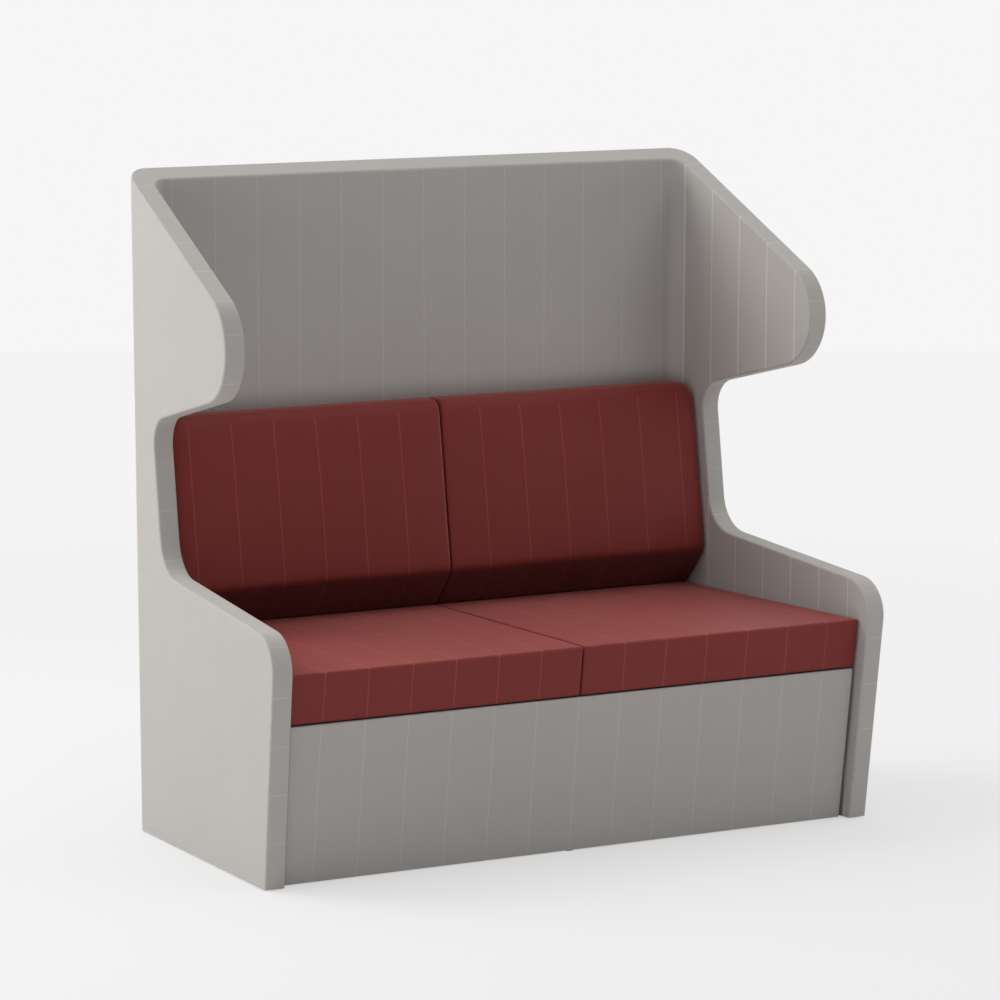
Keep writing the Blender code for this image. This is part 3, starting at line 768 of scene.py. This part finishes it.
@dataclass
class Shell:
    """Upholstered back and sides in one run of cloth, open below."""

    cloth: Material
    profile: SideProfile = field(default_factory=SideProfile)
    outer_corner: float = 0.0485
    inner_corner: float = 0.028
    edge: float = 0.0045
    reach: float = 0.90  # length of the side walls before they are cut to the outline
    tall: float = 1.60  # height of the walls before they are cut
    over: float = 0.1  # how far a cutter passes what it cuts
    pad_foot: float = 0.4565  # height at which the rounded inside corners start
    outer_steps: int = 14
    inner_steps: int = 10
    edge_steps: int = 3
    side_stripe: float = 0.0683  # depth of a stripe on the sides
    back_stripe: float = -0.0004  # place of a stripe on the back, from the middle
    band_stripe: float = 0.6200  # height of a stripe on the sides' edges; tops below it are plain
    back_depth: float = PANEL * 1.2  # faces no deeper than this are the back's
    corner_turn: float = 0.1  # how far a face of the back turns aside before it is a corner's

    def build(self) -> Piece:
        """Model the shell and tie it to the frame.

        Returns:
            The shell.
        """
        obj = self.walls()
        self.cut(obj)
        edit(obj, Part.EDGE, lambda e: e.calc_face_angle(0) > SHARP and self.is_rim(e),
             rounder(self.edge, self.edge_steps))
        self.clear_corners(obj)
        map_cloth(obj, self.on_cloth)
        self.spread(obj)
        sleeve(obj)
        dress(obj, self.cloth, "frame", "grey_fabric", "left_side_cover", "right_side_cover", "back_cover",
              "left_corner_pad", "right_corner_pad")
        return obj

    def walls(self) -> Piece:
        """Three upright walls of one thickness, square to each other, with rounded corners.

        Returns:
            The walls as one closed piece.
        """
        obj = new_primitive(bpy.ops.mesh.primitive_cube_add, "shell", size=1,
                            location=(0, REAR_Y - self.reach / 2, STAND + self.tall / 2),
                            scale=(REAR_WIDTH, self.reach, self.tall))
        edit(obj, Part.FACE, lambda f: f.normal.y < -FLAT or abs(f.normal.z) > FLAT,
             lambda: bpy.ops.mesh.delete(type="FACE"))
        finish_with(obj, "SOLIDIFY", thickness=PANEL, offset=-1, use_even_offset=True)
        self.round_uprights(obj, 0, self.outer_corner, self.outer_steps)
        self.round_uprights(obj, PANEL, self.inner_corner, self.inner_steps)
        return obj

    def round_uprights(self, obj: Piece, inset: float, radius: float, steps: int) -> None:
        """Round the two upright corners at a depth into the shell.

        Args:
            obj: The walls.
            inset: How far in from the outside the corners are.
            radius: Their radius.
            steps: Flats in each.
        """
        near = self.edge / 10
        corner = REAR_WIDTH / 2 - inset

        def is_corner(edge: bmesh.types.BMEdge) -> bool:
            """Whether an edge is one of the corners.

            Args:
                edge: An edge of the walls.

            Returns:
                True on an upright edge at a corner.
            """
            first, last = (vert.co for vert in edge.verts)
            return abs(first.z - last.z) > near and all(
                abs(abs(place.x) - corner) < near and abs(REAR_Y - place.y - inset) < near
                for place in (first, last))

        edit(obj, Part.EDGE, is_corner, rounder(radius, steps))

    def cut(self, obj: Piece) -> None:
        """Cut the walls to the side panels' outline, straight across the shell.

        Args:
            obj: The walls.
        """
        low, high, far = STAND - self.over, self.tall + self.over, self.reach + self.over
        outline = self.profile.points(low, -self.over)
        outline += [Vector((-self.over, high)), Vector((far, high)), Vector((far, low))]
        cutter = new_primitive(bpy.ops.mesh.primitive_circle_add, "cutter", vertices=len(outline),
                               fill_type="NGON")
        for vert, (depth, z) in zip(cutter.data.vertices, outline):
            vert.co = (-REAR_WIDTH, REAR_Y - depth, z)
        sweep = {"value": (2 * REAR_WIDTH, 0, 0)}
        edit(cutter, Part.FACE, lambda f: True,
             lambda: bpy.ops.mesh.extrude_region_move(TRANSFORM_OT_translate=sweep),
             lambda: bpy.ops.mesh.select_all(action="SELECT"),
             lambda: bpy.ops.mesh.normals_make_consistent(inside=False))
        take_away(obj, cutter)

    def is_rim(self, edge: bmesh.types.BMEdge) -> bool:
        """Whether an edge is off the floor."""
        return any(vert.co.z > STAND + self.edge for vert in edge.verts)

    def clear_corners(self, obj: Piece) -> None:
        """Cut the inside corners square below the seat's top, where the seat's frame fits.

        Args:
            obj: The walls.
        """
        size = self.inner_corner + self.edge
        tall = self.pad_foot + self.over
        for hand in Hand:
            x = hand.value * (REAR_WIDTH / 2 - PANEL - size / 2)
            y = REAR_Y - PANEL - size / 2
            cutter = new_primitive(bpy.ops.mesh.primitive_cube_add, "cutter", size=1,
                                   location=(x, y, self.pad_foot - tall / 2), scale=(size, size, tall))
            take_away(obj, cutter)

    def turn_at(self, out: float, depth: float) -> float:
        """How far round a rear corner a place is.

        Args:
            out: How far it is from the middle.
            depth: Its depth.

        Returns:
            0 on the back, 1 on a side.
        """
        inside = REAR_WIDTH / 2 - out > PANEL / 2 and depth > PANEL / 2
        radius = self.inner_corner if inside else self.outer_corner
        set_in = PANEL + radius if inside else radius
        across = out - (REAR_WIDTH / 2 - set_in)
        behind = set_in - depth
        if across <= 0:
            return 0.0
        if behind <= 0:
            return 1.0
        return math.atan2(across, behind) / (math.pi / 2)

    def spread(self, obj: Piece) -> None:
        """Turn the sides outwards about the rear corners, and lean them out to the top.

        Args:
            obj: The shell.
        """
        half = REAR_WIDTH / 2
        for vert in obj.data.vertices:
            side = math.copysign(1, vert.co.x)
            out = abs(vert.co.x)
            depth = REAR_Y - vert.co.y
            angle = SPLAY * self.turn_at(out, depth)
            sine, cosine = math.sin(angle), math.cos(angle)
            wide = half + (out - half) * cosine + depth * sine + vert.co.z * math.tan(LEAN)
            vert.co = (side * wide, REAR_Y - depth * cosine + (out - half) * sine, vert.co.z)

    def on_cloth(self, normal: Vector, middle: Vector, corner: Vector) -> Triple:
        """Where a corner of a face lies on the cloth, before the sides are spread.

        The stripes run up the back and the insides of the sides, and across the sides' edges; the
        outside, the arms' tops and the top of the back are plain.

        Args:
            normal: The face's normal.
            middle: The face's middle.
            corner: The corner.

        Returns:
            How far it is across the stripes, and its place on the cloth.
        """
        plain = GREY.pitch / 2
        depth = REAR_Y - corner.y
        behind = REAR_Y - middle.y < self.back_depth
        outside = normal.x * middle.x > 0
        if abs(normal.z) > abs(normal.y) and abs(normal.z) > abs(normal.x):
            striped = not behind and middle.z > self.band_stripe
            return depth - self.side_stripe if striped else plain, corner.x, depth
        if abs(normal.x) > abs(normal.y):
            return plain if outside else depth - self.side_stripe, depth, corner.z
        if behind:
            across = corner.x + math.copysign(corner.z * math.tan(LEAN), corner.x) - self.back_stripe
            striped = normal.y < 0 and abs(normal.x) < self.corner_turn
            return across if striped else plain, corner.x, corner.z
        return corner.z - self.band_stripe, corner.x, corner.z


@dataclass
class Plinth:
    """Upholstered front panel under the seat, slanted and set back between the sides."""

    cloth: Material
    front: float = 0.6867
    lean: float = math.radians(7.0)
    thick: float = 0.028
    edge: float = 0.004
    edge_steps: int = 3
    stripe: float = -0.0050

    def build(self) -> Piece:
        """Model the plinth and tie it to the frame.

        Returns:
            The plinth.
        """
        low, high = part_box("front_panel_cover")
        obj = new_primitive(bpy.ops.mesh.primitive_cube_add, "front_plinth", size=1,
                            location=(low + high) / 2, scale=high - low)
        middle = (low.y + high.y) / 2
        for vert in obj.data.vertices:
            depth = self.front + vert.co.z * math.tan(self.lean)
            if vert.co.y > middle:
                depth -= self.thick
            drawn_in = (REAR_Y - low.y - depth) * math.tan(SPLAY) + (high.z - vert.co.z) * math.tan(LEAN)
            vert.co.x = math.copysign(high.x - drawn_in, vert.co.x)
            vert.co.y = REAR_Y - depth
        edit(obj, Part.EDGE, lambda e: any(v.co.z > STAND + self.edge for v in e.verts),
             rounder(self.edge, self.edge_steps))
        map_cloth(obj, lambda normal, middle, corner: (corner.x - self.stripe, corner.x, corner.z))
        sleeve(obj)
        dress(obj, self.cloth, "frame", "grey_fabric", "front_panel_cover")
        return obj


@dataclass
class Cushion:
    """Foam cushion in a sewn cloth cover, swollen by its filling between its edges."""

    cloth: Material
    hand: Hand
    face_cap: float = 0.0  # most that the face swells
    top_cap: float = 0.0  # most that the top swells
    fill: float = 1.0
    end_cap: float = 0.0008  # most that the ends swell
    end_face: float = 0.8  # a face that turns further aside than this is an end's
    full_swell: float = 95.0  # percentile of the simulated swelling that is taken as full
    pressure: float = 4.0
    frames: int = 20
    stripe: float = -0.0050
    split: float = 0.003  # gap between the two halves
    stations: int = 20  # steps of the loft between the rounded ends
    cell: float = 0.026  # about the size of the loft's faces round the outline
    arc_step: float = math.radians(20)
    end_steps: int = 4

    kind: ClassVar[str]

    @property
    def node(self) -> str:
        """The frame's node that this cushion replaces."""
        return f"{self.hand.word}_{self.kind}_cushion"

    def build(self) -> Piece:
        """Model the cushion and tie it to the frame.

        Returns:
            The cushion.
        """
        obj = self.blank()
        self.swell(obj)
        self.open_up(obj)
        map_cloth(obj, self.on_cloth)
        pick(obj)
        bpy.ops.object.shade_smooth_by_angle(angle=SHARP)
        dress(obj, self.cloth, f"{self.hand.word}_{self.kind}", "red_fabric", self.node)
        return obj

    def section(self, inner: float, outer: float) -> list[Vector]:
        """Outline seen from the end, drawn in for a share of the inner or outer end's rounding."""
        raise NotImplementedError

    def ends(self) -> Triple:
        """Gap to a side, and the radii of the inner and outer ends."""
        raise NotImplementedError

    def open_up(self, obj: Piece) -> None:
        """Make room in the cushion for what is inside it."""

    def freedom(self, places: np.ndarray) -> np.ndarray:
        """How freely the cover may swell at each place, from 0 to 1."""
        return np.ones((len(places), 1))

    def rings(self) -> list[list[Vector]]:
        """Rings of the cover from the middle of the sofa to its side, with both ends rounded.

        Returns:
            Each ring's points in the sofa's frame.
        """
        gap, inner, outer = self.ends()
        quarter = [math.pi / 2 * n / self.end_steps for n in range(self.end_steps + 1)]
        full = self.section(0, 0)
        parts = [max(1, round((end - start).length / self.cell))
                 for start, end in zip(full, full[1:] + full[:1])]
        first = self.split / 2
        rows = []
        for angle in quarter:
            x = first + inner * (1 - math.cos(angle))
            rows.append((self.section(1 - math.sin(angle), 0), lambda depth, z, x=x: x))
        for n in range(1, self.stations):
            share = n / self.stations
            rows.append((full, lambda depth, z, share=share: (first + inner) * (1 - share)
                         + inside_x(depth, z, gap + outer) * share))
        for angle in reversed(quarter):
            inset = gap + outer * (1 - math.cos(angle))
            rows.append((self.section(0, 1 - math.sin(angle)),
                         lambda depth, z, inset=inset: inside_x(depth, z, inset)))
        return [[Vector((self.hand.value * across(depth, z), REAR_Y - depth, z))
                 for depth, z in divided(outline, parts)] for outline, across in rows]

    def blank(self) -> Piece:
        """Loft the cover through its rings, close its ends and smooth it.

        Returns:
            The blank.
        """
        rings = self.rings()
        obj = new_primitive(bpy.ops.mesh.primitive_grid_add, f"{self.hand.word}_{self.kind}_cover",
                            x_subdivisions=len(rings[0]), y_subdivisions=len(rings) - 1, size=1)
        places = [place for ring in rings for place in (*ring, ring[0])]
        for vert, place in zip(obj.data.vertices, places):
            vert.co = place
        edit(obj, Part.VERT, lambda v: True,
             lambda: bpy.ops.mesh.remove_doubles(threshold=WELD),
             lambda: bpy.ops.mesh.fill_holes(sides=0),
             lambda: bpy.ops.mesh.normals_make_consistent(inside=False))
        while obj.data.uv_layers:
            obj.data.uv_layers.remove(obj.data.uv_layers[0])
        finish_with(obj, "SUBSURF", levels=1, subdivision_type="CATMULL_CLARK")
        return obj

    def swell(self, obj: Piece) -> None:
        """Blow the cover out by its filling with a cloth simulation, then scale the swelling to its caps.

        Args:
            obj: The cushion's blank.
        """
        start = read_vectors(obj, "co")
        way = read_vectors(obj, "normal")
        pick(obj)
        modifier = obj.modifiers.new("Cloth", "CLOTH")
        settings = modifier.settings
        settings.use_pressure = True
        settings.uniform_pressure_force = self.pressure
        settings.effector_weights.gravity = 0
        modifier.point_cache.frame_end = self.frames
        for number in range(1, self.frames + 1):
            bpy.context.scene.frame_set(number)
        bpy.ops.object.modifier_apply(modifier=modifier.name)
        bpy.context.scene.frame_set(1)
        move = read_vectors(obj, "co") - start
        length = np.linalg.norm(move, axis=1, keepdims=True)
        full = np.percentile(length, self.full_swell)
        ahead, above = np.clip(-way[:, 1:2], 0, 1), np.clip(way[:, 2:], 0, 1)
        limit = self.face_cap * ahead + self.top_cap * above + self.end_cap * np.abs(way[:, :1])
        move *= self.freedom(start) * limit * np.tanh(length / full) / np.maximum(length, TINY)
        obj.data.vertices.foreach_set("co", (start + move).ravel())
        obj.data.update()
        log.info("%s: swelled by up to %.1f mm", obj.name, 1000 * np.linalg.norm(move, axis=1).max())

    def on_cloth(self, normal: Vector, middle: Vector, corner: Vector) -> Triple:
        """Where a corner of a face lies on the cloth: stripes run from the rear to the front and down.

        Args:
            normal: The face's normal.
            middle: The face's middle; not used.
            corner: The corner.

        Returns:
            How far it is across the stripes, and its place on the cloth.
        """
        if abs(normal.x) > self.end_face:
            return RED.pitch / 2, corner.y, corner.z
        return corner.x - self.stripe, corner.x, corner.z - corner.y


@dataclass
class SeatCushion(Cushion):
    """Box cushion with a slanted front and crisp rounded edges."""

    face_cap: float = 0.001
    top_cap: float = 0.004
    fill: float = 0.9
    stripe: float = 0.0005
    top: float = 0.4535
    front: float = 0.740
    lean: float = math.radians(8.15)
    edge: float = 0.003
    gap: float = 0.004
    held: float = 0.12  # depth up to which the cover is held down
    rise: float = 0.25  # depth over which it then comes free

    kind: ClassVar[str] = "seat"

    def section(self, inner: float, outer: float) -> list[Vector]:
        """Outline seen from the end, drawn in all round for an end's rounding.

        Args:
            inner: Share of the inner end's rounding.
            outer: Share of the outer end's rounding.

        Returns:
            Points as (depth, height).
        """
        low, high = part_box(self.node)
        drop = self.edge * (inner + outer)
        rear, foot, top = REAR_Y - high.y + drop, low.z + drop, self.top - drop
        front, toe = [self.front - drop - (self.top - z) * math.tan(self.lean) for z in (top, foot)]
        corners = [Vector(spot) for spot in ((rear, foot), (toe, foot), (front, top), (rear, top))]
        return rounded(corners, [self.edge] * 4, self.arc_step)

    def ends(self) -> Triple:
        """Gap to a side, and the radii of the inner and outer ends."""
        return self.gap, self.edge, self.edge

    def freedom(self, places: np.ndarray) -> np.ndarray:
        """Held down under the back cushion, and free towards the front."""
        share = np.clip((REAR_Y - places[:, 1:2] - self.held) / self.rise, 0, 1)
        return share * share * (3 - 2 * share)


@dataclass
class BackCushion(Cushion):
    """Wedge cushion with a slanted face, a knee below it and a pocket in its rear for its board."""

    face_cap: float = 0.007
    top_cap: float = 0.0015
    fill: float = 0.85
    top: float = 0.919
    face: float = 0.2497  # depth of the face, if it went on down to the floor
    lean: float = math.radians(8.2)
    knee: float = 0.5407
    toe: float = 0.102
    top_round: float = 0.026
    knee_round: float = 0.034
    toe_round: float = 0.004
    inner_end: float = 0.008
    inner_edge: float = 0.002
    outer_end: float = 0.026
    outer_edge: float = 0.007
    rear_relief: float = 0.030  # how far the rear draws in at the outer end
    gap: float = 0.003
    plain_top: float = 0.35  # a face that turns up further than this is plain
    board_gap: float = 0.0005

    kind: ClassVar[str] = "back"

    def section(self, inner: float, outer: float) -> list[Vector]:
        """Outline seen from the end, drawn in at its top, face and rear for an end's rounding.

        Args:
            inner: Share of the inner end's rounding.
            outer: Share of the outer end's rounding.

        Returns:
            Points as (depth, height).
        """
        low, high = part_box(self.node)
        top = self.top - self.inner_end * inner - self.outer_end * outer
        face_drop = self.inner_edge * inner + self.outer_edge * outer
        rear = REAR_Y - high.y + self.rear_relief * outer
        brow, knee = [self.face - z * math.tan(self.lean) - face_drop for z in (top, self.knee)]
        corners = [Vector(spot) for spot in ((rear, low.z), (self.toe - face_drop, low.z), (knee, self.knee),
                                             (brow, top), (rear, top))]
        radii = [0, self.toe_round, self.knee_round, self.top_round, 0]
        return rounded(corners, radii, self.arc_step)

    def ends(self) -> Triple:
        """Gap to a side, and the radii of the inner and outer ends."""
        return self.gap, self.inner_end, self.outer_end

    def open_up(self, obj: Piece) -> None:
        """Cut the pocket for the board into the rear.

        Args:
            obj: The cushion.
        """
        low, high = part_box(f"{self.hand.word}_back_board")
        room = Vector((1, 1, 1)) * self.board_gap
        low, high = low - room, high + room
        high.y = REAR_Y
        cutter = new_primitive(bpy.ops.mesh.primitive_cube_add, "cutter", size=1, location=(low + high) / 2,
                               scale=high - low)
        take_away(obj, cutter)

    def on_cloth(self, normal: Vector, middle: Vector, corner: Vector) -> Triple:
        """As on any cushion, but the top is plain."""
        across, u, v = super().on_cloth(normal, middle, corner)
        return RED.pitch / 2 if normal.z > self.plain_top else across, u, v


class InnerPieces:
    """The frame's own timber, metal and plastic pieces, which keep their shape."""

    def __init__(self) -> None:
        """Build one material for each finish."""
        self.materials = {slot: finish.material() for slot, finish in INNER_FINISHES.items()}

    def dress(self) -> None:
        """Give each piece its finish."""
        for row in frame["record"]["subparts"]:
            material = self.materials.get(row["material_slot"])
            if material is None:
                continue
            mesh = frame["nodes"][row["node"]].data
            mesh.materials.clear()
            mesh.materials.append(material)
            log.info("%s: %s", row["node"], material.name)


@dataclass(frozen=True)
class Lamp:
    """Large square lamp that hangs round the sofa and points at its middle."""

    name: str
    round_by: float
    up_by: float
    power: float
    size: float = 3.0
    away: float = 6.0
    aim: Triple = (0.0, 0.0, 0.7)

    def hang(self) -> None:
        """Add the lamp; its angles are in degrees, round from the front to the right, and up."""
        turn, rise = math.radians(self.round_by), math.radians(self.up_by)
        way = Vector((math.sin(turn) * math.cos(rise), -math.cos(turn) * math.cos(rise), math.sin(rise)))
        bpy.ops.object.select_all(action="DESELECT")
        bpy.ops.object.light_add(type="AREA", location=Vector(self.aim) + way * self.away,
                                 rotation=way.to_track_quat("Z", "Y").to_euler())
        lamp = bpy.context.object
        lamp.name = self.name
        lamp.data.energy = self.power
        lamp.data.size = self.size


@dataclass
class Studio:
    """White floor and sky, soft lamps and the camera."""

    lamps: tuple[Lamp, ...] = (
        Lamp("left_lamp", -90, 12, 110),
        Lamp("left_rear_lamp", -130, 40, 195),
        Lamp("right_lamp", 90, 12, 110),
        Lamp("right_front_lamp", 40, 35, 45),
        Lamp("rear_lamp", 180, 47, 45),
    )
    lens: float = 170.06
    camera_place: Triple = (-5.1302, -8.8314, 2.1579)
    camera_turn: Triple = (82.013, 0.0, -30.153)
    horizon: float = 19.9
    sight: float = 100.0  # how far the camera sees
    floor_size: float = 60.0
    floor_colour: float = 0.85
    floor_roughness: float = 0.9
    patch_shade: float = 0.01
    patch_scale: float = 0.6
    floor_glow: Pair = (0.77, 0.90)
    glow_share: float = 0.65
    glow_reach: Pair = (1.2, 5.0)
    backdrop: float = 0.92
    sky: float = 1.28
    sky_foot: float = 0.3

    def build(self) -> None:
        """Set the floor, the lamps, the world and the camera."""
        self.floor()
        self.world()
        for lamp in self.lamps:
            lamp.hang()
        self.camera()
        bpy.context.scene.view_settings.view_transform = "Standard"

    def floor(self) -> None:
        """White floor that lights the sofa from below, takes its shadow and ends at the horizon."""
        turn = math.radians(self.camera_turn[2])
        ahead = self.horizon - self.floor_size / 2
        x, y, _ = self.camera_place
        obj = new_primitive(bpy.ops.mesh.primitive_plane_add, "floor", size=self.floor_size,
                            location=(x - ahead * math.sin(turn), y + ahead * math.cos(turn), 0),
                            rotation=(0, 0, turn))
        shade = Shader("floor")
        place = shade.body()
        patches = shade.noise(place, self.patch_scale)
        tone = shade.maths("MULTIPLY_ADD", patches, self.patch_shade, self.floor_colour)
        shade.made({"Base Color": tone, "Roughness": self.floor_roughness, "Specular IOR Level": 0.0})
        radius = shade.node("VectorMath", {0: place}, operation="LENGTH").outputs["Value"]
        away = shade.ramp(radius, *self.glow_reach)
        near, far = self.floor_glow
        glow = shade.node("Emission", {"Strength": shade.maths("MULTIPLY_ADD", away, far - near, near)})
        share = shade.maths("MULTIPLY_ADD", away, 1 - self.glow_share, self.glow_share)
        mixed = shade.node("MixShader", {0: shade.maths("MULTIPLY", share, shade.seen()),
                                         1: shade.surface.outputs[0], 2: glow.outputs[0]})
        shade.feed(shade.tree.nodes["Material Output"].inputs["Surface"], mixed.outputs[0])
        obj.data.materials.append(shade.material)

    def world(self) -> None:
        """Sky that is brightest overhead, behind a pale backdrop for the camera."""
        world = bpy.data.worlds.new("studio")
        bpy.context.scene.world = world
        world.use_nodes = True
        nodes = Nodes(world.node_tree)
        height = nodes.split(nodes.node("TexCoord").outputs["Generated"])[2]
        light = nodes.node("MapRange", {0: height, 1: self.sky_foot, 4: self.sky}).outputs[0]
        strength = nodes.node("Mix", {0: nodes.seen(), 2: light, 3: self.backdrop}).outputs[0]
        background = world.node_tree.nodes["Background"]
        nodes.feed(background.inputs["Strength"], strength)
        nodes.feed(background.inputs["Color"], (1, 1, 1, 1))

    def camera(self) -> None:
        """Set the camera at the photograph's viewing angle."""
        bpy.ops.object.select_all(action="DESELECT")
        bpy.ops.object.camera_add(location=self.camera_place,
                                  rotation=[math.radians(angle) for angle in self.camera_turn])
        camera = bpy.context.object
        camera.data.lens = self.lens
        camera.data.sensor_fit = "HORIZONTAL"
        camera.data.clip_end = self.sight
        bpy.context.scene.camera = camera


def main() -> None:
    """Build the sofa's looks piece by piece, then the studio around it."""
    logging.basicConfig(level=logging.INFO, format="%(message)s")
    grey = GREY.material()
    red = RED.material()
    Shell(grey).build()
    Plinth(grey).build()
    for hand in Hand:
        SeatCushion(red, hand).build()
        BackCushion(red, hand).build()
    InnerPieces().dress()
    Studio().build()


if __name__ == "__main__":
    main()
